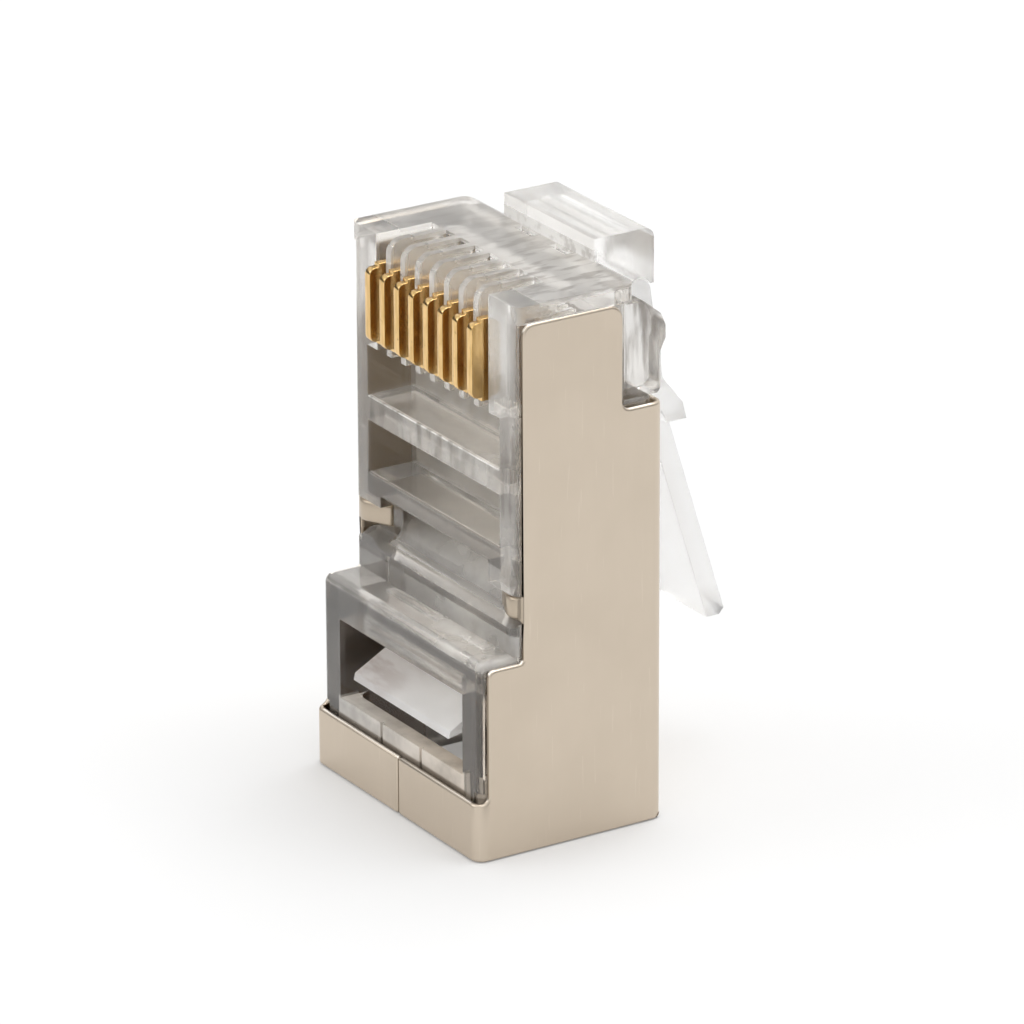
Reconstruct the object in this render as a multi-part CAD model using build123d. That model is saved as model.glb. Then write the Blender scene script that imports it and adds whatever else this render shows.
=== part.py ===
from build123d import *
from math import cos, radians, sin
import os

# Shielded eight-way modular plug, as supplied before it is crimped on a cable.
# Millimetres. X runs along the row of contacts, -Y is the contact side, +Y the latch side,
# and +Z points to the nose. The origin is the centre of the cable end's footprint.

# Shield, folded from one sheet
shield_width = 11.70
shield_front = -4.02
shield_back = 4.24
sheet = 0.25
bend_radius = 0.50
foot_edge_radius = 0.12
foot_back_radius = 0.34
strap_height = 2.31
strap_seam = 0.06
strap_seam_x = 0.20
base_panel_height = 7.61
base_panel_inset = 0.55
panel_top = 20.85
panel_corner = 0.45
panel_back_corner = 0.60
back_panel_top = 16.70
notch_front = 2.41
notch_corner = 0.30
tab_height = 0.85
left_tab_middle = 10.12
right_tab_middle = 9.70
tab_reach = 1.08
tab_fold_angle = 115.0
tab_fold_radius = 0.55
tab_sink = 0.02

# Body moulding
shield_fit = 0.05
body_corner = 0.40
base_step_rise = 0.22
base_step_radius = 0.45
nose_panel_front = -1.94
rim_inset = 0.17
rim_corner = 0.40
rim_gap = 0.05
nose_front = -2.22
nose_top = 21.55
nose_back = 2.97
lip_overhang = 0.25
shelf_rise = 0.10
rail_flank = 5.18
rail_inner = 3.40
rail_back = 4.56
rail_bead = 0.12
rail_top = 20.50
rail_corner = 0.35
flank_back = 2.80

# Pockets and crossbars on the contact face
pocket_half_width = 4.65
pocket_depth = 2.12
comb_bottom = 16.95
upper_bar_top = 14.94
upper_bar_bottom = 13.95
lower_bar_top = 11.85
lower_bar_bottom = 11.11
ramp_half_width = 3.80
ramp_top_depth = 1.95
ledge_top = 9.20
ledge_depth = 0.60
ledge_fall = 0.32
tab_recess_depth = 1.00
tab_recess_side = 0.20
tab_recess_above = 0.10
gate_mark_left = 0.70
gate_mark_right = 2.30
gate_mark_height = 0.08
gate_mark_drop = 1.30

# Cable side of the moulding
window_half_width = 4.38
window_bottom = 3.05
window_top = 6.27
cavity_front = -3.00
cavity_back = 3.05
cavity_upper_front = -1.20
cavity_top = 8.60
cavity_corner = 0.60
funnel_height = 2.80
throat_height = 0.96
throat_length = 1.20
foot_groove_spacing = 2.80
foot_groove_width = 0.16
foot_groove_depth = 0.14

# Row of contacts
contact_count = 8
pitch = 1.02
blade = 0.35
blade_front = -2.84
blade_sink = 1.13
blade_height = 2.92
blade_edge_radius = 0.28
blade_shoulder = 0.14
blade_shoulder_front = -2.42
blade_shoulder_back = -0.75
tooth_root = -0.40
tooth_tip = 0.25
tooth_count = 3
tooth_land = 0.12
blade_clearance = 0.03
guide_slot = 0.68
guide_slot_depth = 0.65
guide_slot_back = 0.20
comb_radius = 0.58
channel_diameter = 0.90
channel_axis = 1.02
channel_cap = 1.25

# Latch
latch_half_width = 3.10
lever_half_width = 1.62
latch_thickness = 1.10
hinge_y = 4.85
hinge_z = 19.95
hinge_clearance = 0.04
root_back = 5.52
root_front = 2.88
root_rise = 0.90
root_underside = 0.30
root_corner = 0.42
root_gusset = 0.55
root_pocket_spacing = 2.40
root_pocket_width = 1.20
root_pocket_depth = 0.35
root_pocket_cover = 0.05
latch_neck = 16.40
latch_neck_back = 5.95
shoulder_crest = 15.27
shoulder_crest_back = 6.84
shoulder_bottom = 14.57
shoulder_back = 7.02
lever_end = 5.85
lever_angle = 17.3
lever_thickness = 0.84
lever_end_lip = 0.22

# Strain relief bar
bar_half_width = 3.41
bar_hinge_y = -1.90
bar_knuckle = 0.28
bar_web = 0.46
bar_heel = 5.10
bar_nose_y = -3.66
bar_nose_z = 4.42
bar_tip_y = -3.74
bar_tip_z = 4.12
bar_heel_under = 4.45

# Sizes that follow from the ones above
half_width = shield_width / 2
panel_inside = half_width - sheet
strap_inside = shield_front + sheet
back_inside = shield_back - sheet
base_panel_front = shield_front + base_panel_inset
body_half_width = panel_inside - shield_fit
body_front = strap_inside + shield_fit
body_back = back_inside - shield_fit
rim_half_width = half_width - rim_inset
body_step = base_panel_height + base_step_rise
shelf_top = back_panel_top + shelf_rise
pocket_floor = nose_front + pocket_depth
ledge_back = nose_front + ledge_depth
tab_tip_x = half_width - sheet / 2 - tab_fold_radius * (1 - cos(radians(tab_fold_angle)))
tab_tip_x = tab_tip_x - tab_reach * sin(radians(tab_fold_angle))
funnel_top = cavity_top + funnel_height
throat_top = funnel_top + throat_length
channel_end = nose_top - channel_cap
blade_top = nose_top - blade_sink
blade_bottom = blade_top - blade_height
slot_bottom = blade_bottom - blade_shoulder - blade_clearance
slot_top = blade_top + blade_shoulder + blade_clearance
contact_x = [(i - (contact_count - 1) / 2) * pitch for i in range(contact_count)]
row_half_width = contact_x[-1] + guide_slot / 2


def side_profile(points, x_low, x_high):
    """Prism between two X planes, from an outline given as (y, z) points."""
    face = Plane.YZ * make_face(Polyline(*points, close=True))
    return Pos(x_low, 0, 0) * extrude(face, x_high - x_low)


def block(x_low, x_high, y_low, y_high, z_low, z_high):
    """Box from its limits along the three axes."""
    size = (x_high - x_low, y_high - y_low, z_high - z_low)
    middle = ((x_high + x_low) / 2, (y_high + y_low) / 2, (z_high + z_low) / 2)
    return Pos(*middle) * Box(*size)


def rounded_column(x_half, y_low, y_high, z_low, z_high, radius):
    """Upright block whose four vertical edges are rounded."""
    face = RectangleRounded(2 * x_half, y_high - y_low, radius)
    return Pos(0, (y_high + y_low) / 2, z_low) * extrude(face, z_high - z_low)


def both_sides(half):
    """A feature on +X with its mirror image on -X."""
    return half + mirror(half, Plane.YZ)


def round_edges(solid, edges, radius):
    """Fillet the chosen edges of a solid."""
    return fillet(edges, radius) if edges else solid


def edges_along_x(solid, y, z):
    """Edges parallel to X that pass through one (y, z) point."""
    found = solid.edges().filter_by(Axis.X)
    return [e for e in found if abs(e.center().Y - y) < 0.01 and abs(e.center().Z - z) < 0.01]


def shield_wrap():
    """Closed rounded wrap of sheet, trimmed to the panels, the back and the base strap."""
    outer = rounded_column(half_width, shield_front, shield_back, 0, panel_top, bend_radius)
    foot_edges = [e for e in outer.edges() if abs(e.center().Z) < 0.001]
    outer = round_edges(outer, foot_edges, foot_edge_radius)
    inner = rounded_column(panel_inside, strap_inside, back_inside, -1, panel_top + 1, bend_radius - sheet)
    wrap = outer - inner

    front = shield_front - 1
    base_opening = side_profile(
        [(front, strap_height), (base_panel_front, strap_height),
         (base_panel_front, base_panel_height + panel_corner), (front, base_panel_height + panel_corner)],
        -half_width - 1, half_width + 1)
    lower_corner = edges_along_x(base_opening, base_panel_front, strap_height)
    base_opening = round_edges(base_opening, lower_corner, panel_corner / 1.5)
    nose_opening = block(-half_width - 1, half_width + 1, front, nose_panel_front, base_panel_height, panel_top + 1)
    nose_corner = edges_along_x(nose_opening, nose_panel_front, base_panel_height)
    nose_opening = round_edges(nose_opening, nose_corner, base_step_rise - rim_gap)
    notch = block(-half_width - 1, half_width + 1, notch_front, shield_back + 1, back_panel_top, panel_top + 1)
    notch = round_edges(notch, edges_along_x(notch, notch_front, back_panel_top), notch_corner)
    seam = block(strap_seam_x - strap_seam / 2, strap_seam_x + strap_seam / 2, front, 0, -1, strap_height + 1)
    wrap = wrap - base_opening - nose_opening - notch - seam - foot_corner()

    corners = [(nose_panel_front, panel_top, panel_corner), (notch_front, panel_top, panel_back_corner),
               (base_panel_front, base_panel_height, panel_corner / 1.5)]
    for y, z, radius in corners:
        wrap = round_edges(wrap, edges_along_x(wrap, y, z), radius)
    return wrap


def foot_corner():
    """Rounds the cable end of the back panel over its whole width."""
    corner = block(-half_width - 1, half_width + 1, shield_back - foot_back_radius, shield_back + 1,
                   -1, foot_back_radius)
    keep = Pos(0, shield_back - foot_back_radius, foot_back_radius) * Rot(0, 90, 0) * Cylinder(
        foot_back_radius, 2 * half_width + 3)
    return corner - keep


def shield_tab(tab_middle):
    """Tab on the +X panel at one height, folded round the nose corner and pressed into its recess."""
    middle_x = half_width - sheet / 2
    fold_start = nose_front + tab_sink + sheet / 2 + tab_fold_radius
    lead = Line((middle_x, fold_start + 0.6, tab_middle), (middle_x, fold_start, tab_middle))
    turn = radians(tab_fold_angle)
    end_x = middle_x - tab_fold_radius * (1 - cos(turn))
    end_y = fold_start - tab_fold_radius * sin(turn)
    fold = TangentArc((middle_x, fold_start, tab_middle), (end_x, end_y, tab_middle), tangent=(0, -1, 0))
    tip = (end_x - tab_reach * sin(turn), end_y - tab_reach * cos(turn), tab_middle)
    run = Line((end_x, end_y, tab_middle), tip)
    path = Wire([lead, fold, run])
    section = Plane(origin=(middle_x, fold_start + 0.6, tab_middle), x_dir=(1, 0, 0), z_dir=(0, -1, 0))
    return sweep(section * Rectangle(sheet, tab_height), path)


def make_shield():
    left_tab = mirror(shield_tab(left_tab_middle), Plane.YZ)
    return shield_wrap() + shield_tab(right_tab_middle) + left_tab


def body_blank():
    """Outside form of the moulding, before its pockets, slots and cavity."""
    base = rounded_column(body_half_width, body_front, body_back, 0, body_step, body_corner)
    base_edge = [e for e in base.edges() if abs(e.center().Z - body_step) < 0.001 and e.center().Y < nose_front]
    base = round_edges(base, base_edge, base_step_radius * 0.9)
    stem = rounded_column(body_half_width, nose_front, body_back, body_step - 1, shelf_top, body_corner)
    neck = rounded_column(body_half_width, nose_front, flank_back, shelf_top - 1, panel_top, body_corner)
    core = block(-rail_flank, rail_flank, 0, nose_back, shelf_top - 1, panel_top)
    lip = rounded_column(body_half_width + lip_overhang, nose_front, nose_back, panel_top, nose_top, body_corner)
    return base + stem + neck + core + lip


def front_rims():
    """Rims that stand in front of the side panels' near edges, on the nose and on the base."""
    nose = rounded_column(rim_half_width, nose_front, nose_back, body_step, panel_top, rim_corner)
    nose = nose & block(-half_width, half_width, nose_front, nose_panel_front - rim_gap, body_step, panel_top)
    low = strap_height + panel_corner / 1.5 + rim_gap
    base = rounded_column(rim_half_width, body_front, body_back, low, body_step, rim_corner)
    top_edge = [e for e in base.edges() if abs(e.center().Z - body_step) < 0.001 and e.center().Y < nose_front]
    base = round_edges(base, top_edge, base_step_radius * 0.9)
    base = base & block(-half_width, half_width, body_front, base_panel_front - rim_gap, low, body_step)
    return nose + base


def latch_side_rail():
    """Rail on +X beside the latch, with a rounded top, a bead and a rounded foot."""
    foot = shelf_top
    outline = [(nose_back - 0.5, foot), (rail_back - rail_corner * 0.7, foot), (rail_back, foot + rail_corner * 0.7),
               (rail_back, rail_top - 1.85), (rail_back + rail_bead, rail_top - 1.6),
               (rail_back + rail_bead, rail_top - 1.1), (rail_back - 0.1, rail_top - 0.6),
               (rail_back - 0.85, rail_top), (nose_back - 0.5, rail_top)]
    rail = side_profile(outline, rail_inner, rail_flank)
    flank_edges = [e for e in rail.edges().filter_by(Axis.Z)
                   if abs(e.center().X - rail_flank) < 0.001 and abs(e.center().Y - rail_back) < 0.001]
    return round_edges(rail, flank_edges, rail_corner * 0.6)


def latch_root():
    """Root block behind the nose, with the round seat that the lever turns in."""
    root_bottom = hinge_z + root_underside
    gusset_foot = hinge_z - root_gusset
    root_top = nose_top + root_rise
    outline = [(nose_back - 0.5, gusset_foot), (nose_back, gusset_foot), (hinge_y - 0.85, root_bottom),
               (root_back, root_bottom), (root_back, root_top), (root_front, root_top),
               (root_front, nose_top), (nose_back - 0.5, nose_top)]
    root = side_profile(outline, -latch_half_width, latch_half_width)
    root = round_edges(root, edges_along_x(root, root_back, root_top), root_corner)
    seat_radius = latch_thickness / 2 + hinge_clearance
    seat = Pos(0, hinge_y, hinge_z) * Rot(0, 90, 0) * Cylinder(seat_radius, 2 * latch_half_width + 1)
    pocket_back = root_front - root_pocket_cover
    pocket = side_profile([(pocket_back - root_pocket_depth, nose_top + 1), (pocket_back, nose_top + 1),
                           (pocket_back, nose_top - root_pocket_depth), (pocket_back - root_pocket_depth, nose_top)],
                          -root_pocket_width / 2, root_pocket_width / 2)
    pockets = [Pos(side * root_pocket_spacing / 2, 0, 0) * pocket for side in (-1, 1)]
    return root - seat, pockets


def contact_face_pockets():
    """Two square pockets, the ramped pocket and the recesses that the shield tabs press into."""
    outside = nose_front - 1
    upper = block(-pocket_half_width, pocket_half_width, outside, pocket_floor, upper_bar_top, comb_bottom)
    middle = block(-pocket_half_width, pocket_half_width, outside, pocket_floor, lower_bar_top, upper_bar_bottom)
    ledge = [(ledge_back, ledge_top), (nose_front, ledge_top - ledge_fall), (outside, ledge_top - ledge_fall)]
    ramp_back = nose_front + ramp_top_depth
    ramp = side_profile([(outside, lower_bar_bottom), (ramp_back, lower_bar_bottom)] + ledge,
                        -ramp_half_width, ramp_half_width)
    right_recess = tab_recess(ledge, right_tab_middle)
    left_recess = mirror(tab_recess(ledge, left_tab_middle), Plane.YZ)
    return [upper, middle, ramp - gate_mark(), right_recess, left_recess]


def tab_recess(ledge, tab_middle):
    """Recess round the tab on +X, open at the side and standing on the ledge."""
    outside = nose_front - 1
    top = tab_middle + tab_height / 2 + tab_recess_above
    back = nose_front + tab_recess_depth
    return side_profile([(outside, top), (back, top), (back, ledge_top)] + ledge,
                        tab_tip_x - tab_recess_side, half_width)


def gate_mark():
    """Low raised patch where the gate was, on the slope of the ramped pocket."""
    slope = (ramp_top_depth - ledge_depth) / (lower_bar_bottom - ledge_top)
    low = lower_bar_bottom - gate_mark_drop
    face_low = ledge_back + (low - ledge_top) * slope
    face_high = nose_front + ramp_top_depth
    outline = [(face_low + 0.2, low), (face_low - gate_mark_height, low),
               (face_high - gate_mark_height, lower_bar_bottom), (face_high + 0.2, lower_bar_bottom)]
    return side_profile(outline, gate_mark_left, gate_mark_right)


def cable_cavity():
    """Cavity for the cable jacket, the funnel above it and the throat to the wire channels."""
    below = -1
    low = rounded_column(window_half_width, cavity_front, cavity_back, below, window_top, cavity_corner)
    high = rounded_column(window_half_width, cavity_upper_front, cavity_back, window_top - 1, cavity_top,
                          cavity_corner)
    window = block(-window_half_width, window_half_width, shield_front, 0, window_bottom, window_top)
    mouth_depth = cavity_back - cavity_upper_front
    mouth = Pos(0, (cavity_back + cavity_upper_front) / 2, cavity_top) * Rectangle(2 * window_half_width, mouth_depth)
    throat_half = contact_x[-1] + channel_diameter / 2
    throat_end = Pos(0, channel_axis, funnel_top) * Rectangle(2 * throat_half, throat_height)
    funnel = loft([mouth, throat_end])
    throat = block(-throat_half, throat_half, channel_axis - throat_height / 2, channel_axis + throat_height / 2,
                   funnel_top, throat_top)
    return [low, high, window, funnel, throat]


def wire_channels():
    """One blind round channel for each wire, up into the nose under its contact."""
    length = channel_end - throat_top + 0.2
    channel = extrude(Circle(channel_diameter / 2), length)
    return [Pos(x, channel_axis, throat_top - 0.2) * channel for x in contact_x]


def contact_slots():
    """For each contact, a wide guide slot for the jack's spring and a tight slot for the blade."""
    outside = nose_front - 1
    guide_floor = nose_front + guide_slot_depth
    guide = [(outside, comb_bottom - 0.5), (guide_floor, comb_bottom - 0.5), (guide_floor, slot_top),
             (guide_slot_back, slot_top), (guide_slot_back, nose_top + 1), (outside, nose_top + 1)]
    slots = []
    half_slot = blade / 2 + blade_clearance
    for x in contact_x:
        slots.append(side_profile(guide, x - guide_slot / 2, x + guide_slot / 2))
        slots.append(block(x - half_slot, x + half_slot, outside, channel_axis, slot_bottom, slot_top))
    return slots


def comb_rounding():
    """Rounds the near top corner of the comb's ribs, between the two outer lands."""
    corner = block(-row_half_width, row_half_width, nose_front - 1, nose_front + comb_radius,
                   nose_top - comb_radius, nose_top + 1)
    keep = Pos(0, nose_front + comb_radius, nose_top - comb_radius) * Rot(0, 90, 0) * Cylinder(
        comb_radius, 2 * row_half_width + 1)
    return corner - keep


def foot_grooves():
    """Fine upright grooves in the bar below the window."""
    groove = block(-foot_groove_width / 2, foot_groove_width / 2, body_front - 1,
                   body_front + foot_groove_depth, -1, window_bottom + 0.5)
    return [Pos(side * foot_groove_spacing / 2, 0, 0) * groove for side in (-1, 1)]


def bar_seat():
    """Round seat under the window's header for the strain relief bar."""
    return Pos(0, bar_hinge_y, window_top) * Rot(0, 90, 0) * Cylinder(
        bar_knuckle + hinge_clearance, 2 * bar_half_width + 2 * shield_fit)


def make_body():
    root, root_pockets = latch_root()
    body = body_blank() + front_rims() + both_sides(latch_side_rail()) + root
    cuts = contact_face_pockets() + cable_cavity() + wire_channels() + contact_slots() + root_pockets
    cuts += foot_grooves() + [comb_rounding(), bar_seat()]
    for cut in cuts:
        body = body - cut
    return body


def make_contact():
    """Blade on x = 0: rounded outer edge, wider shoulders, and teeth that pierce the wire."""
    low_shoulder = blade_bottom - blade_shoulder
    high_shoulder = blade_top + blade_shoulder
    outline = [(blade_front, blade_bottom), (blade_shoulder_front, blade_bottom),
               (blade_shoulder_front, low_shoulder), (blade_shoulder_back, low_shoulder)]
    tooth_height = (blade_top - blade_bottom) / tooth_count
    for i in range(tooth_count):
        low = blade_bottom + i * tooth_height
        outline.append((tooth_root, low + 0.02))
        outline.append((tooth_tip, low + tooth_height / 2 - tooth_land / 2))
        outline.append((tooth_tip, low + tooth_height / 2 + tooth_land / 2))
    outline.append((tooth_root, blade_top - 0.02))
    outline += [(blade_shoulder_back, high_shoulder), (blade_shoulder_front, high_shoulder),
                (blade_shoulder_front, blade_top), (blade_front, blade_top)]
    contact = side_profile(outline, -blade / 2, blade / 2)
    for z in (blade_bottom, blade_top):
        contact = round_edges(contact, edges_along_x(contact, blade_front, z), blade_edge_radius)
    return contact


def make_latch():
    """Lever with a round root, two locking shoulders and a long narrow tail."""
    knuckle_radius = latch_thickness / 2
    lean = radians(lever_angle)
    drop = shoulder_bottom - lever_end
    tail_back = shoulder_back + drop * sin(lean) / cos(lean)
    inner_shift = lever_thickness / cos(lean)
    neck_inner = latch_neck_back - lever_thickness * 1.02
    shoulder_inner = shoulder_back - inner_shift
    tail_foot = lever_end - lever_thickness * sin(lean)
    wide = [(hinge_y - knuckle_radius, hinge_z), (hinge_y + knuckle_radius, hinge_z),
            (latch_neck_back, latch_neck), (shoulder_crest_back, shoulder_crest), (shoulder_back, shoulder_bottom),
            (shoulder_inner, shoulder_bottom), (neck_inner, latch_neck)]
    tail = [(shoulder_back, shoulder_bottom), (tail_back, lever_end), (tail_back - lever_end_lip, tail_foot),
            (tail_back - lever_thickness * cos(lean), tail_foot), (shoulder_inner, shoulder_bottom)]
    knuckle = Pos(0, hinge_y, hinge_z) * Rot(0, 90, 0) * Cylinder(knuckle_radius, 2 * latch_half_width)
    paddle = side_profile(wide, -latch_half_width, latch_half_width)
    lever = side_profile(tail, -lever_half_width, lever_half_width)
    return knuckle + paddle + lever


def make_bar():
    """Wedge hung on a web from a round knuckle under the window's header."""
    web_front = bar_hinge_y - bar_web / 2
    web_back = bar_hinge_y + bar_web / 2
    outline = [(web_back, window_top), (web_front, window_top), (web_front, bar_heel + 0.15),
               (bar_nose_y, bar_nose_z), (bar_tip_y, bar_tip_z), (web_back - 0.35, bar_heel_under),
               (web_back, bar_heel_under + 0.35)]
    wedge = side_profile(outline, -bar_half_width, bar_half_width)
    knuckle = Pos(0, bar_hinge_y, window_top) * Rot(0, 90, 0) * Cylinder(bar_knuckle, 2 * bar_half_width)
    return wedge + knuckle


parts = {"plug_body": make_body(), "shield": make_shield(), "latch_lever": make_latch(),
         "strain_relief_bar": make_bar()}
first_contact = make_contact()
for index, x in enumerate(contact_x):
    parts["contact_" + str(index + 1)] = Pos(x, 0, 0) * first_contact

os.makedirs("parts", exist_ok=True)
for name, solid in parts.items():
    export_step(solid, "parts/" + name + ".step")
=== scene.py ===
import bmesh
import bpy
from math import radians
from mathutils import Matrix, Vector
from mathutils.bvhtree import BVHTree


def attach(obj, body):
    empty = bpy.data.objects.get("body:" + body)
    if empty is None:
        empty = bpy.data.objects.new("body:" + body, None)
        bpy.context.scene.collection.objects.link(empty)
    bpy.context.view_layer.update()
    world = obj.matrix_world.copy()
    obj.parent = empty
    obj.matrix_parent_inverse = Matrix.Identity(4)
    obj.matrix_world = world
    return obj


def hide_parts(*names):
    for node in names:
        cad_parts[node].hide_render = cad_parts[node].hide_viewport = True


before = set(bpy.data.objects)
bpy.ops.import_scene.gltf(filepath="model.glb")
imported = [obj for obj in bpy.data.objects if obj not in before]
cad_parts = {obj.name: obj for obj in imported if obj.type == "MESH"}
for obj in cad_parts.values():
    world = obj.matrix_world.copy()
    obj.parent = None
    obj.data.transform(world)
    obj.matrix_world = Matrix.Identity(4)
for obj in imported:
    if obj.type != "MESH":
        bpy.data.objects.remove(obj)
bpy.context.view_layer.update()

# Camera: the photograph's own view. A long lens looks at the contact face and the right side panel
# from 21 degrees above, so that upright edges stay upright.
camera_data = bpy.data.cameras.new("product_camera")
camera_data.sensor_width = 36.0
camera_data.lens = 282.37
camera_data.clip_start = 0.01
camera_data.clip_end = 20.0
camera = bpy.data.objects.new("product_camera", camera_data)
camera_place = Vector((0.236918, -0.147804, 0.121021))
camera_right = Vector((0.533545, 0.845766, -0.003214))
camera_up = Vector((-0.307789, 0.197703, 0.930688))
camera_back = Vector((0.787779, -0.495574, 0.365801))
camera_turn = Matrix((camera_right, camera_up, camera_back)).transposed()
camera.matrix_world = Matrix.Translation(camera_place) @ camera_turn.to_4x4()
bpy.context.scene.collection.objects.link(camera)
bpy.context.scene.camera = camera
bpy.context.scene.view_settings.view_transform = "Standard"

# Clear plastic folds light inside itself many times before it comes out, so a ray may turn more often
# than the few times that are enough for solid things.
path_limits = bpy.context.scene.cycles
path_limits.max_bounces = 28
path_limits.transmission_bounces = 28
path_limits.glossy_bounces = 14
path_limits.transparent_max_bounces = 24


# Studio: a white tent all round. The camera sees it as white, and so do metal and clear plastic, apart
# from two dim cards low down at the right and the left, which draw the dark lines on their edges.
def linear(hex_code):
    """An sRGB hex colour as the linear values that Blender's sockets take."""
    values = [int(hex_code[i:i + 2], 16) / 255 for i in (1, 3, 5)]
    return [v / 12.92 if v <= 0.04045 else ((v + 0.055) / 1.055) ** 2.4 for v in values] + [1.0]


def add_node(tree, kind, settings=None, inputs=None):
    """Adds a shader node: settings are its properties, inputs its values or the sockets linked to it."""
    node = tree.nodes.new(kind)
    for key, value in (settings or {}).items():
        setattr(node, key, value)
    for key, value in (inputs or {}).items():
        if isinstance(value, bpy.types.NodeSocket):
            tree.links.new(value, node.inputs[key])
        else:
            node.inputs[key].default_value = value
    return node


def joined(tree, operation, first, *others):
    """Two or more values or sockets joined into one by the same arithmetic, node after node."""
    for other in others:
        first = add_node(tree, "ShaderNodeMath", {"operation": operation}, {0: first, 1: other}).outputs[0]
    return first


def seen_by_rays(tree):
    """1 for rays from the camera and for rays that metal or clear plastic sends on, else 0."""
    path = add_node(tree, "ShaderNodeLightPath")
    return joined(tree, "MAXIMUM", *[path.outputs["Is %s Ray" % ray] for ray in ("Camera", "Transmission", "Glossy")])


white = linear("#FFFFFF")
smooth = {"interpolation_type": "SMOOTHSTEP"}
fill_light = 0.74
card_shade = 0.12
world = bpy.data.worlds.new("white_tent")
bpy.context.scene.world = world
world.use_nodes = True
tree = world.node_tree
tree.nodes.clear()
direction = add_node(tree, "ShaderNodeTexCoord").outputs["Generated"]
upward = add_node(tree, "ShaderNodeSeparateXYZ", None, {0: direction}).outputs["Z"]
low_band = add_node(tree, "ShaderNodeMapRange", smooth,
                    {"Value": upward, "From Min": 0.28, "From Max": 0.46, "To Min": 1.0, "To Max": 0.0}).outputs[0]
card_sides = [add_node(tree, "ShaderNodeVectorMath", {"operation": "DOT_PRODUCT"},
                       {0: direction, 1: card}).outputs["Value"]
              for card in ((0.87, 0.50, 0.0), (-0.79, -0.61, 0.0))]
sideways = add_node(tree, "ShaderNodeMapRange", smooth,
                    {"Value": joined(tree, "MAXIMUM", *card_sides), "From Min": 0.55, "From Max": 0.75}).outputs[0]
path = add_node(tree, "ShaderNodeLightPath")
bent_ray = joined(tree, "MAXIMUM", path.outputs["Is Transmission Ray"], path.outputs["Is Glossy Ray"])
shown = add_node(tree, "ShaderNodeMapRange", smooth,
                 {"Value": joined(tree, "MULTIPLY", low_band, sideways, bent_ray),
                  "To Min": 1.0, "To Max": card_shade}).outputs[0]
lighting = add_node(tree, "ShaderNodeBackground", None, {"Color": white, "Strength": fill_light})
backdrop = add_node(tree, "ShaderNodeBackground", None, {"Color": white, "Strength": shown})
mix = add_node(tree, "ShaderNodeMixShader", None,
               {0: seen_by_rays(tree), 1: lighting.outputs[0], 2: backdrop.outputs[0]})
add_node(tree, "ShaderNodeOutputWorld", None, {0: mix.outputs[0]})


# Floor: a sheet of matt white board, a hair under the plug's foot. It looks white to the camera, in metal
# and through clear plastic, and keeps the plug's soft shadow.
def new_material(name):
    """An empty node material, its node tree and its output."""
    material = bpy.data.materials.new(name)
    material.use_nodes = True
    material.node_tree.nodes.clear()
    return material, material.node_tree, material.node_tree.nodes.new("ShaderNodeOutputMaterial")


def weighed(tree, base, *shares):
    """A base value with patterns added to it, each times its own weight."""
    for pattern, weight in shares:
        base = joined(tree, "ADD", base, joined(tree, "MULTIPLY", pattern, weight))
    return base


def add_object(name, bm):
    """Makes a scene object of a finished bmesh."""
    mesh = bpy.data.meshes.new(name)
    bm.to_mesh(mesh)
    bm.free()
    obj = bpy.data.objects.new(name, mesh)
    bpy.context.scene.collection.objects.link(obj)
    return obj


def dress(obj, *materials):
    """Gives an object its materials, in the order of its slots."""
    obj.data.materials.clear()
    for material in materials:
        obj.data.materials.append(material)


floor_half_size = 1.6
floor_drop = 0.00002
white_lift = 0.13
mirrored_lift = 0.07
bm = bmesh.new()
bmesh.ops.create_grid(bm, x_segments=1, y_segments=1, size=floor_half_size)
bmesh.ops.translate(bm, verts=bm.verts, vec=(0, 0, -floor_drop))
floor = add_object("floor", bm)
material, tree, output = new_material("matt_white_board")
path = add_node(tree, "ShaderNodeLightPath")
lift = weighed(tree, 0.0, (seen_by_rays(tree), white_lift), (path.outputs["Is Glossy Ray"], mirrored_lift))
board = add_node(tree, "ShaderNodeBsdfDiffuse", None, {"Color": linear("#D5D5D5")})
glow = add_node(tree, "ShaderNodeEmission", None, {"Color": white, "Strength": lift})
both = add_node(tree, "ShaderNodeAddShader", None, {0: board.outputs[0], 1: glow.outputs[0]})
tree.links.new(both.outputs[0], output.inputs["Surface"])
dress(floor, material)

# Lamps: a large softbox overhead, a little behind the plug, and a weak one on the contact side. Both
# are square and point at the middle of the plug.
lamp_aim = Vector((0, 0, 0.01))
for name, place, size, watts in (("overhead_softbox", (0.02, 0.12, 0.60), 0.40, 2.40),
                                 ("contact_side_softbox", (-0.25, -0.50, 0.40), 0.35, 0.58)):
    lamp = bpy.data.lights.new(name, "AREA")
    lamp.shape = "SQUARE"
    lamp.size = size
    lamp.energy = watts
    softbox = bpy.data.objects.new(name, lamp)
    softbox.location = place
    softbox.rotation_euler = (Vector(place) - lamp_aim).to_track_quat("Z", "Y").to_euler()
    bpy.context.scene.collection.objects.link(softbox)


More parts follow.
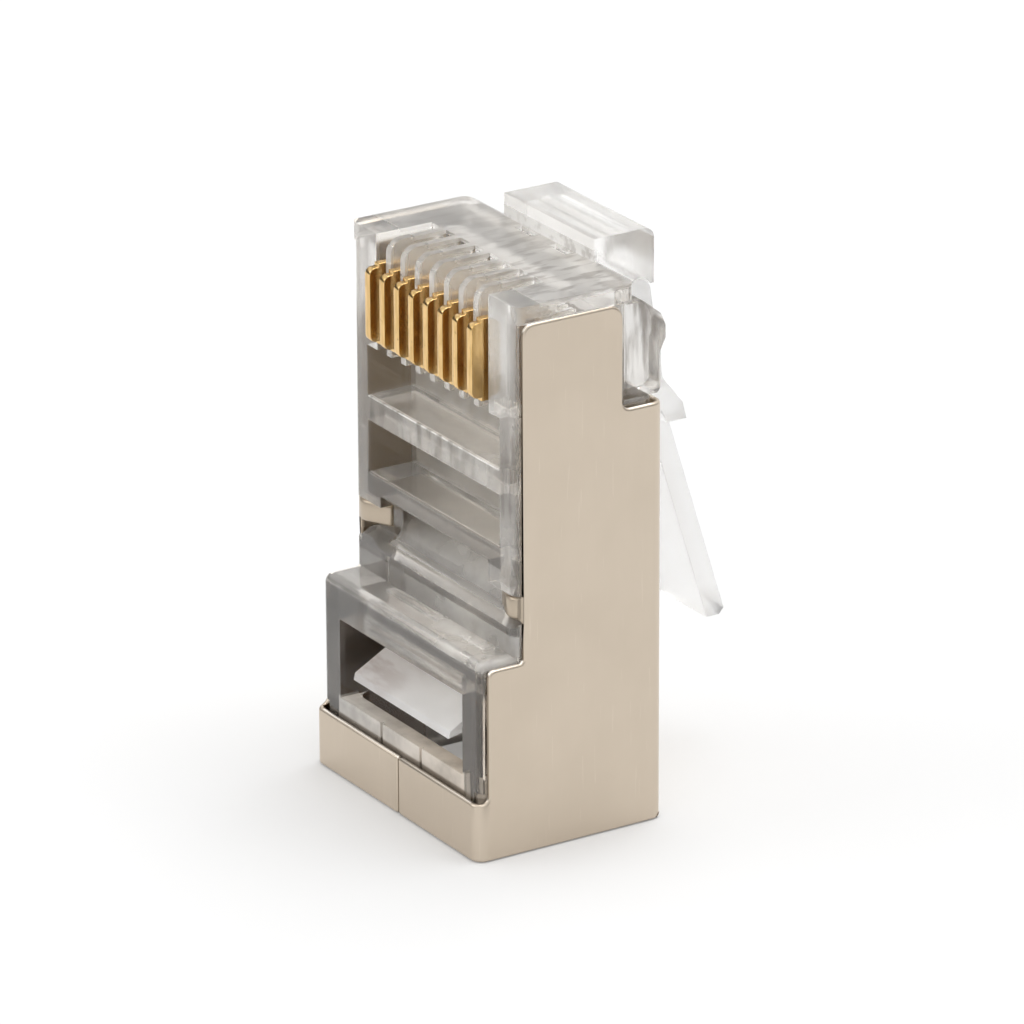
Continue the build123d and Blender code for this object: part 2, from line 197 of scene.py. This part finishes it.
# Plug body: one injection moulding in clear polycarbonate that holds every other piece. The gloss of the
# polished mould shows outside, while the comb, the pockets, the cavity and the wire channels come out of the
# tool frosted. Its fine rounded edges have a whiter, hazier material of their own, as a painted highlight.
def soft_edged(node, body, radius, edge_index=0, clamp=True):
    """A copy of a CAD node's mesh with its sharp edges rounded, which stands in for the node."""
    weld_distance = 2e-6
    flat_angle, sharp_angle, shading_angle = radians(0.8), radians(32), radians(50)
    bm = bmesh.new()
    bm.from_mesh(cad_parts[node].data)
    bmesh.ops.remove_doubles(bm, verts=bm.verts, dist=weld_distance)
    bmesh.ops.dissolve_limit(bm, angle_limit=flat_angle, use_dissolve_boundaries=False,
                             verts=bm.verts, edges=bm.edges)
    surface = BVHTree.FromBMesh(bm)
    sharp = [e for e in bm.edges if len(e.link_faces) == 2 and e.calc_face_angle() > sharp_angle]
    rounded = bmesh.ops.bevel(bm, geom=sharp, offset=radius, offset_type="OFFSET", segments=2, profile=0.5,
                              affect="EDGES", clamp_overlap=clamp, material=-1)
    for face in rounded["faces"]:
        face.material_index = edge_index
    # Where edges meet at a slant, the bevel throws a few corners far off: they go back among their neighbours.
    stray = {v for v in bm.verts if surface.find_nearest(v.co)[3] > radius / 2}
    for vert in stray:
        near = [e.other_vert(vert).co for e in vert.link_edges if e.other_vert(vert) not in stray]
        if near:
            vert.co = sum(near, Vector()) / len(near)
    for face in bm.faces:
        face.smooth = True
    piece = add_object(node + "_finished", bm)
    piece.data.set_sharp_from_angle(angle=shading_angle)
    flat_faces = piece.modifiers.new("flat_faces", "WEIGHTED_NORMAL")
    flat_faces.weight = 100
    flat_faces.keep_sharp = True
    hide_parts(node)
    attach(piece, body)
    return piece


def cloudy(tree, place, size_mm, detail, stretch=None, turn=(0.0, 0.0, 0.0)):
    """Cloudy noise from 0 to 1 with features about size_mm across, drawn out where stretch is below 1."""
    if stretch:
        place = add_node(tree, "ShaderNodeMapping", None,
                         {"Vector": place, "Scale": stretch, "Rotation": turn}).outputs[0]
    return add_node(tree, "ShaderNodeTexNoise", None,
                    {"Vector": place, "Scale": 1000.0 / size_mm, "Detail": detail}).outputs["Fac"]


def inside(tree, value, low, high, soft):
    """1 where a coordinate in metres lies between two millimetre limits, with a soft edge, else 0."""
    rise = add_node(tree, "ShaderNodeMapRange", smooth,
                    {"Value": value, "From Min": (low - soft) / 1000, "From Max": (low + soft) / 1000})
    fall = add_node(tree, "ShaderNodeMapRange", smooth,
                    {"Value": value, "From Min": (high - soft) / 1000, "From Max": (high + soft) / 1000,
                     "To Min": 1.0, "To Max": 0.0})
    return joined(tree, "MULTIPLY", rise.outputs[0], fall.outputs[0])


def zone(tree, axes, half_width, depths, heights, soft=0.05):
    """1 inside a box of the plug's own coordinates in millimetres, the same at the left and right, else 0."""
    across = add_node(tree, "ShaderNodeMath", {"operation": "ABSOLUTE"}, {0: axes.outputs["X"]}).outputs[0]
    return joined(tree, "MULTIPLY", inside(tree, across, -1.0, half_width, soft),
                  inside(tree, axes.outputs["Y"], *depths, soft), inside(tree, axes.outputs["Z"], *heights, soft))


def layered(tree, base, *layers):
    """A base colour with other colours laid over it in turn, each where its mask is 1."""
    for mask, colour in layers:
        base = add_node(tree, "ShaderNodeMix", {"data_type": "RGBA"},
                        {"Factor": mask, "A": base, "B": colour}).outputs["Result"]
    return base


def finish_plastic(tree, output, haze, roughness, height, strength, tint):
    """Links the haze, roughness and fine relief of a clear plastic, and lets light through to what is inside."""
    polycarbonate_ior = 1.585
    relief_depth = 0.00004
    relief = add_node(tree, "ShaderNodeBump", None,
                      {"Strength": strength, "Distance": relief_depth, "Height": height})
    plastic = add_node(tree, "ShaderNodeBsdfPrincipled", None,
                       {"Base Color": tint, "Roughness": roughness, "IOR": polycarbonate_ior,
                        "Transmission Weight": joined(tree, "SUBTRACT", 1.0, haze),
                        "Normal": relief.outputs["Normal"]})
    path = add_node(tree, "ShaderNodeLightPath")
    shade_per_face = linear("#E9E7E4")
    through = add_node(tree, "ShaderNodeBsdfTransparent", None, {"Color": shade_per_face})
    mix = add_node(tree, "ShaderNodeMixShader", None,
                   {0: path.outputs["Is Shadow Ray"], 1: plastic.outputs[0], 2: through.outputs[0]})
    tree.links.new(mix.outputs[0], output.inputs["Surface"])


mould_edge_radius = 0.00004
flow_cloud_mm = 1.6
edge_cloud_mm = 0.8
top_flow_and_reflection_mm = 0.40
rail_flow_and_reflection_mm = 0.45
mould_texture_mm = 0.12  # The real texture is about 0.02 mm: it is drawn coarser here, so that it shows.
body_piece = soft_edged("plug_body", "plug", mould_edge_radius, 1)
material, tree, output = new_material("clear_moulded_polycarbonate")
place = add_node(tree, "ShaderNodeTexCoord").outputs["Object"]
axes = add_node(tree, "ShaderNodeSeparateXYZ", None, {0: place})
# The regions of the moulding, from the nose down to the base.
nose_top = zone(tree, axes, 6.0, (-1.2, 3.0), (21.4, 22.0))
comb = zone(tree, axes, 3.95, (-2.3, 0.15), (16.9, 21.5))
hollows = zone(tree, axes, 4.55, (0.05, 3.2), (-1.0, 20.5))
pocket_backs = zone(tree, axes, 4.70, (-0.30, 0.05), (11.2, 17.0))
crossbars = zone(tree, axes, 4.70, (-2.35, -0.40), (11.0, 15.0))
upper_bar = zone(tree, axes, 4.70, (-2.40, -2.15), (13.9, 15.0))
upper_bar_top = zone(tree, axes, 4.70, (-2.15, 0.0), (14.8, 15.1))
lower_bar = zone(tree, axes, 4.70, (-2.40, -2.15), (11.0, 11.95))
slope = zone(tree, axes, 3.90, (-2.00, -0.20), (9.1, 11.2))
front = zone(tree, axes, 6.0, (-2.40, -2.10), (9.1, 21.6))
ledge = zone(tree, axes, 6.0, (-3.5, -1.2), (8.65, 9.3))
step = zone(tree, axes, 6.0, (-3.9, -2.0), (7.5, 8.6))
header = zone(tree, axes, 6.0, (-4.0, -3.2), (6.30, 7.45), 0.12)
base_walls = zone(tree, axes, 6.0, (-4.0, -0.5), (-1.0, 6.4))
sill = zone(tree, axes, 4.5, (-4.0, -2.9), (2.0, 3.15))
# The gap at the foot, darkened in the tint below as painted shade.
foot_gap_painted_shade = zone(tree, axes, 6.0, (-4.0, -3.3), (1.0, 2.45), 0.06)
rear = zone(tree, axes, 6.0, (2.9, 6.0), (16.9, 23.0))
root = zone(tree, axes, 3.2, (2.7, 6.0), (18.5, 23.0))
rails = joined(tree, "SUBTRACT", zone(tree, axes, 6.0, (2.9, 6.0), (16.9, 20.9)),
               zone(tree, axes, 3.2, (2.9, 6.0), (16.9, 20.9)))
# Painted highlights: thin bright lines of haze under the top edges of the two crossbars.
crossbar_painted_highlights = joined(tree, "ADD", zone(tree, axes, 4.6, (-2.4, -2.1), (14.88, 14.96), 0.01),
                zone(tree, axes, 4.6, (-2.4, -2.1), (11.79, 11.87), 0.01))
right_rim = joined(tree, "MULTIPLY", inside(tree, axes.outputs["X"], 4.70, 6.0, 0.05),
                   zone(tree, axes, 6.0, (-2.4, -0.5), (9.0, 16.6)))
# Fades across the plug and down the ramp.
leftward = add_node(tree, "ShaderNodeMapRange", smooth,
                    {"Value": axes.outputs["X"], "From Min": 0.0, "From Max": 0.0045,
                     "To Min": 1.0, "To Max": 0.2}).outputs[0]
rightward = add_node(tree, "ShaderNodeMapRange", smooth,
                     {"Value": axes.outputs["X"], "From Min": -0.0045, "From Max": 0.004, "To Min": 0.3}).outputs[0]
left_half = add_node(tree, "ShaderNodeMapRange", smooth,
                     {"Value": axes.outputs["X"], "From Min": -0.004, "From Max": 0.004,
                      "To Min": 1.0, "To Max": 0.0}).outputs[0]
left_third = add_node(tree, "ShaderNodeMapRange", smooth,
                      {"Value": axes.outputs["X"], "From Min": -0.0036, "From Max": 0.0005,
                       "To Min": 1.0, "To Max": 0.0}).outputs[0]
ramp_top = add_node(tree, "ShaderNodeMapRange", smooth,
                    {"Value": axes.outputs["Z"], "From Min": 0.0092, "From Max": 0.0106}).outputs[0]
left_column = joined(tree, "MULTIPLY", zone(tree, axes, 6.0, (-4.0, -3.5), (2.9, 6.4)), left_half)
# The ramp's left side under the lower bar, darkened in the tint below as painted shadow.
under_bar_painted_shadow = joined(tree, "MULTIPLY", zone(tree, axes, 3.95, (-2.2, -0.2), (8.5, 11.1)),
                   joined(tree, "MULTIPLY", left_third, ramp_top))
# Haze and roughness: what each region adds to the clear, glossy moulding.
finishes = ((comb, 0.18, 0.16), (hollows, 0.02, 0.36), (pocket_backs, 0.19, 0.30), (crossbars, 0.02, 0.12),
            (slope, 0.20, 0.14), (front, 0.13, 0.06), (ledge, 0.05, 0.10), (step, 0.22, 0.10),
            (header, 0.02, 0.14), (lower_bar, -0.06, 0.0), (upper_bar_top, 0.15, 0.0), (base_walls, -0.03, 0.0),
            (left_column, 0.08, 0.0), (crossbar_painted_highlights, 0.75, 0.0), (sill, 0.64, 0.10), (nose_top, 0.15, 0.25),
            (rear, 0.03, 0.06), (root, 0.02, 0.08))
clear_haze = 0.04
gloss_roughness = 0.04
clouds = cloudy(tree, place, flow_cloud_mm, 4.0)
flow = add_node(tree, "ShaderNodeMapRange", smooth, {"Value": clouds, "From Min": 0.35, "From Max": 0.68}).outputs[0]
haze = weighed(tree, clear_haze, *[(mask, more_haze) for mask, more_haze, more_rough in finishes])
rough = weighed(tree, gloss_roughness, *[(mask, more_rough) for mask, more_haze, more_rough in finishes], (flow, 0.05))
cloud_share = add_node(tree, "ShaderNodeMapRange", smooth,
                       {"Value": clouds, "From Min": 0.3, "From Max": 0.7, "To Min": 0.7, "To Max": 1.25}).outputs[0]
side_share = add_node(tree, "ShaderNodeMapRange", smooth,
                      {"Value": axes.outputs["X"], "From Min": -0.0045, "From Max": 0.0045,
                       "To Min": 0.75, "To Max": 1.40}).outputs[0]
haze = joined(tree, "MULTIPLY", haze, cloud_share, side_share)
relief = weighed(tree, 0.0, (clouds, 0.8), (cloudy(tree, place, mould_texture_mm, 3.0), 0.25))
# Tint: clear plastic with grey and brown painted shade and painted reflections, where folded reflections
# darken it: on the nose top, the rails, the ledge, the header, the bars and the right rim. The recess under
# the lower bar and the gap at the foot are darkest, as painted shadow. The base walls are browner towards
# the right. The cloudy marks are partly flow lines and partly painted reflection.
top_flow_and_reflection_marks = add_node(tree, "ShaderNodeMapRange", smooth,
                     {"Value": cloudy(tree, place, top_flow_and_reflection_mm, 3.0, (1.0, 0.3, 1.0)),
                      "From Min": 0.46, "From Max": 0.62}).outputs[0]
rail_flow_and_reflection_marks = add_node(tree, "ShaderNodeMapRange", smooth,
                      {"Value": cloudy(tree, place, rail_flow_and_reflection_mm, 3.0, (1.0, 1.0, 0.2)),
                       "From Min": 0.42, "From Max": 0.62}).outputs[0]
tint = layered(tree, linear("#F7F4EF"), (rear, linear("#FFFEFC")), *[
    (joined(tree, "MULTIPLY", *masks, share), linear(tone)) for masks, share, tone in (
        ((nose_top, joined(tree, "MULTIPLY", top_flow_and_reflection_marks, rightward)), 0.65, "#9A9289"),
        ((rails, rail_flow_and_reflection_marks), 0.95, "#98918A"),
        ((ledge, rightward), 0.6, "#A69F96"),
        ((header, rightward), 0.95, "#A69F96"),
        ((base_walls, rightward), 0.8, "#D2C4B2"),
        ((lower_bar,), 0.9, "#7F776E"),
        ((upper_bar, joined(tree, "MULTIPLY", rail_flow_and_reflection_marks, leftward)), 0.8, "#8F887E"),
        ((right_rim, rail_flow_and_reflection_marks), 0.6, "#7A6F63"),
        ((under_bar_painted_shadow,), 0.85, "#5A4F43"),
        ((foot_gap_painted_shade,), 0.8, "#6A5D50"))])
finish_plastic(tree, output, haze, rough, relief, 0.25, tint)
# The rounded edges: a whiter haze all along them, as a painted highlight.
edge_painted_light_material, tree, output = new_material("polycarbonate_edges_painted_highlight")
place = add_node(tree, "ShaderNodeTexCoord").outputs["Object"]
clouds = cloudy(tree, place, edge_cloud_mm, 3.0)
haze = add_node(tree, "ShaderNodeMapRange", smooth,
                {"Value": clouds, "From Min": 0.35, "From Max": 0.65, "To Min": 0.70, "To Max": 1.0}).outputs[0]
finish_plastic(tree, output, haze, 0.12, clouds, 0.1, white)
dress(body_piece, material, edge_painted_light_material)

# Latch lever and strain relief bar: moulded with the body, from the same polycarbonate, but with the fine
# spark-eroded texture that frosts their faces. The bar is frosted whiter and greyed at its left end, and
# the lever lets more light through.
frost_cloud_mm = 1.0
grey_patch_mm = 0.7
spark_texture_mm = 0.07  # The real texture is about 0.03 mm: it is drawn coarser here, so that it shows.
for node, body, least_haze, most_haze, least_rough, dull in (
        ("latch_lever", "latch", 0.04, 0.08, 0.29, "#FCFCFB"),
        ("strain_relief_bar", "strain_relief", 0.38, 0.52, 0.52, "#CCC2BE")):
    piece = soft_edged(node, body, mould_edge_radius)
    material, tree, output = new_material("frosted_moulded_polycarbonate_" + body)
    place = add_node(tree, "ShaderNodeTexCoord").outputs["Object"]
    clouds = cloudy(tree, place, frost_cloud_mm, 4.0)
    haze = add_node(tree, "ShaderNodeMapRange", smooth,
                    {"Value": clouds, "From Min": 0.3, "From Max": 0.7,
                     "To Min": least_haze, "To Max": most_haze}).outputs[0]
    uneven = add_node(tree, "ShaderNodeMapRange", smooth,
                      {"Value": clouds, "From Min": 0.3, "From Max": 0.7, "To Max": 0.05}).outputs[0]
    rough = joined(tree, "ADD", uneven, least_rough)
    relief = weighed(tree, clouds, (cloudy(tree, place, spark_texture_mm, 2.0), 0.2))
    across = add_node(tree, "ShaderNodeSeparateXYZ", None, {0: place}).outputs["X"]
    left_end = add_node(tree, "ShaderNodeMapRange", smooth,
                        {"Value": across, "From Min": -0.0036, "From Max": 0.0008,
                         "To Min": 1.0, "To Max": 0.0}).outputs[0]
    # Grey patches towards the left end of the bar.
    grey_patches = add_node(tree, "ShaderNodeMapRange", smooth,
                      {"Value": cloudy(tree, place, grey_patch_mm, 4.0, (0.3, 1.0, 1.0)),
                       "From Min": 0.40, "From Max": 0.58, "To Min": 0.35}).outputs[0]
    tint = layered(tree, white, (joined(tree, "MULTIPLY", left_end, grey_patches), linear(dull)))
    finish_plastic(tree, output, haze, rough, relief, 0.05, tint)
    dress(piece, material)

# Shield: one blank of brass sheet, a quarter of a millimetre thick, cut and folded round the body with a
# butt seam in front. The nickel plating is satin outside. Its inner faces are painted shade, dark brown low
# down and lighter higher up. The rounded edges carry a painted highlight and a painted dark line below it.
sheet_edge_radius = 0.00011
plating_cloud_mm = 3.5
rolling_streak_mm = 0.25
scratch_mm = 0.10
edge_wear_mm = 0.6
plating_grain_mm = 0.06  # The real grain is about 0.01 mm: it is drawn coarser here, so that it shows.
shield_piece = soft_edged("shield", "plug", sheet_edge_radius, 1, clamp=False)
material, tree, output = new_material("nickel_plated_brass_sheet")
coordinates = add_node(tree, "ShaderNodeTexCoord")
place = coordinates.outputs["Object"]
axes = add_node(tree, "ShaderNodeSeparateXYZ", None, {0: place})
across = add_node(tree, "ShaderNodeMath", {"operation": "ABSOLUTE"}, {0: axes.outputs["X"]}).outputs[0]
facing_up = add_node(tree, "ShaderNodeSeparateXYZ", None, {0: coordinates.outputs["Normal"]}).outputs["Z"]
streaks = cloudy(tree, place, rolling_streak_mm, 3.0, (1.0, 1.0, 0.12))
scratches = add_node(tree, "ShaderNodeMapRange", smooth,
                     {"Value": cloudy(tree, place, scratch_mm, 1.0, (1.0, 1.0, 0.05), (0.5, 0.9, 0.3)),
                      "From Min": 0.70, "From Max": 0.74}).outputs[0]
tabs = zone(tree, axes, 5.8, (-2.5, -1.2), (9.2, 10.7))
inner_faces_painted_shade = joined(tree, "SUBTRACT", zone(tree, axes, 5.62, (-3.79, 4.01), (-1.0, 22.0), 0.015), tabs)
cut_sides = joined(tree, "MULTIPLY", inside(tree, across, 5.66, 5.79, 0.01),
                   inside(tree, axes.outputs["Y"], -3.50, 3.70, 0.05))
cut_strap = joined(tree, "MULTIPLY", inside(tree, axes.outputs["Y"], -3.96, -3.83, 0.01),
                   inside(tree, across, -1.0, 5.30, 0.05))
cut_back = joined(tree, "MULTIPLY", inside(tree, axes.outputs["Y"], 4.05, 4.18, 0.01),
                  inside(tree, across, -1.0, 5.30, 0.05))
cut = joined(tree, "MAXIMUM", joined(tree, "SUBTRACT", cut_sides, tabs), cut_strap, cut_back)
clouded = add_node(tree, "ShaderNodeMapRange", smooth,
                   {"Value": cloudy(tree, place, plating_cloud_mm, 3.0), "From Min": 0.3, "From Max": 0.7}).outputs[0]
above_base = add_node(tree, "ShaderNodeMapRange", smooth,
                      {"Value": axes.outputs["Z"], "From Min": 0.004, "From Max": 0.010}).outputs[0]
top_facing = add_node(tree, "ShaderNodeMapRange", smooth,
                      {"Value": facing_up, "From Min": 0.2, "From Max": 0.6}).outputs[0]
# Painted light on the plating: the inner faces in painted shade, darker towards the bottom; the bent-in tabs a little
# darker, as painted shade; the cut faces darker as painted shade, with a painted highlight where they face up. The
# clouds and scratches are the plating's own tone.
tone = layered(tree, linear("#CCBFAE"), (clouded, linear("#C8BBAA")),
               (joined(tree, "MULTIPLY", scratches, 0.12), linear("#E8DED0")),
               (inner_faces_painted_shade, layered(tree, linear("#4C3825"), (above_base, linear("#9A8971")))),
               (joined(tree, "MULTIPLY", tabs, 0.7), linear("#AFA290")),
               (cut, layered(tree, linear("#958878"), (top_facing, linear("#FBF4EA")))))
satin = add_node(tree, "ShaderNodeMapRange", smooth,
                 {"Value": streaks, "From Min": 0.3, "From Max": 0.7, "To Min": 0.33, "To Max": 0.36}).outputs[0]
relief = weighed(tree, 0.0, (streaks, 0.3), (cloudy(tree, place, plating_grain_mm, 2.0), 0.3))
bump = add_node(tree, "ShaderNodeBump", None, {"Strength": 0.06, "Distance": 0.00002, "Height": relief})
nickel = add_node(tree, "ShaderNodeBsdfPrincipled", None,
                  {"Base Color": tone, "Metallic": 1.0, "Roughness": weighed(tree, satin, (scratches, -0.03)),
                   "Normal": bump.outputs["Normal"]})
tree.links.new(nickel.outputs[0], output.inputs["Surface"])
edge_painted_light_material, tree, output = new_material("nickel_edge_painted_highlight_and_shade")
coordinates = add_node(tree, "ShaderNodeTexCoord")
axes = add_node(tree, "ShaderNodeSeparateXYZ", None, {0: coordinates.outputs["Object"]})
across = add_node(tree, "ShaderNodeMath", {"operation": "ABSOLUTE"}, {0: axes.outputs["X"]}).outputs[0]
facing_up = add_node(tree, "ShaderNodeSeparateXYZ", None, {0: coordinates.outputs["Normal"]}).outputs["Z"]
wear = cloudy(tree, coordinates.outputs["Object"], edge_wear_mm, 3.0)
worn = add_node(tree, "ShaderNodeMapRange", smooth, {"Value": wear, "From Min": 0.35, "From Max": 0.65}).outputs[0]
outer_sides = add_node(tree, "ShaderNodeMapRange", smooth,
                       {"Value": across, "From Min": 0.00573, "From Max": 0.00577}).outputs[0]
outer_front = add_node(tree, "ShaderNodeMapRange", smooth,
                       {"Value": axes.outputs["Y"], "From Min": -0.00396, "From Max": -0.00392,
                        "To Min": 1.0, "To Max": 0.0}).outputs[0]
outer_back = add_node(tree, "ShaderNodeMapRange", smooth,
                      {"Value": axes.outputs["Y"], "From Min": 0.00412, "From Max": 0.00416}).outputs[0]
slanting = add_node(tree, "ShaderNodeMapRange", smooth,
                    {"Value": facing_up, "From Min": 0.02, "From Max": 0.10}).outputs[0]
not_level = add_node(tree, "ShaderNodeMapRange", smooth,
                     {"Value": facing_up, "From Min": 0.62, "From Max": 0.70,
                      "To Min": 1.0, "To Max": 0.0}).outputs[0]
level_painted_highlight = add_node(tree, "ShaderNodeMapRange", smooth,
                 {"Value": facing_up, "From Min": 0.66, "From Max": 0.74}).outputs[0]
rolled_over_painted_shade = joined(tree, "MULTIPLY", joined(tree, "MAXIMUM", outer_sides, outer_front, outer_back),
                     joined(tree, "MULTIPLY", slanting, not_level))
tab_edges_painted_shadow = zone(tree, axes, 5.60, (-2.5, -1.2), (9.2, 10.7))
# Painted light on the rounded edges: a bright tone, brighter still where they face up, as painted highlight; a dark
# line where they turn down to the outside and round the tabs, as painted shade.
tone = layered(tree, linear("#F4EADC"), (worn, linear("#D8CBB9")), (level_painted_highlight, linear("#FFF9F0")),
               (joined(tree, "MAXIMUM", rolled_over_painted_shade, tab_edges_painted_shadow), linear("#4A3E31")))
burnished = add_node(tree, "ShaderNodeMapRange", smooth,
                     {"Value": wear, "From Min": 0.3, "From Max": 0.7, "To Min": 0.12, "To Max": 0.22}).outputs[0]
edge = add_node(tree, "ShaderNodeBsdfPrincipled", None, {"Base Color": tone, "Metallic": 1.0, "Roughness": burnished})
tree.links.new(edge.outputs[0], output.inputs["Surface"])
dress(shield_piece, material, edge_painted_light_material)

# Contacts: eight blades stamped from phosphor bronze strip and gold plated over nickel. The sheared faces
# are streaked along the cut, and the outer edges are rounded.
contact_count = 8
stamped_edge_radius = 0.000025
shear_streak_mm = 0.12
speck_mm = 0.10
material, tree, output = new_material("gold_plated_bronze_strip")
place = add_node(tree, "ShaderNodeTexCoord").outputs["Object"]
streaks = cloudy(tree, place, shear_streak_mm, 3.0, (1.0, 1.0, 0.15))
streaked = add_node(tree, "ShaderNodeMapRange", smooth,
                    {"Value": streaks, "From Min": 0.3, "From Max": 0.7}).outputs[0]
specks = add_node(tree, "ShaderNodeMapRange", smooth,
                  {"Value": cloudy(tree, place, speck_mm, 2.0), "From Min": 0.66, "From Max": 0.72}).outputs[0]
tone = layered(tree, linear("#E6C38A"), (streaked, linear("#D0AC6F")),
               (joined(tree, "MULTIPLY", specks, 0.5), linear("#5E4318")))
bright = add_node(tree, "ShaderNodeMapRange", smooth,
                  {"Value": streaks, "From Min": 0.3, "From Max": 0.7, "To Min": 0.13, "To Max": 0.24}).outputs[0]
bump = add_node(tree, "ShaderNodeBump", None, {"Strength": 0.12, "Distance": 0.00002, "Height": streaks})
gold = add_node(tree, "ShaderNodeBsdfPrincipled", None,
                {"Base Color": tone, "Metallic": 1.0, "Roughness": bright, "Normal": bump.outputs["Normal"]})
tree.links.new(gold.outputs[0], output.inputs["Surface"])
for number in range(1, contact_count + 1):
    dress(soft_edged("contact_%d" % number, "blade_%d" % number, stamped_edge_radius), material)
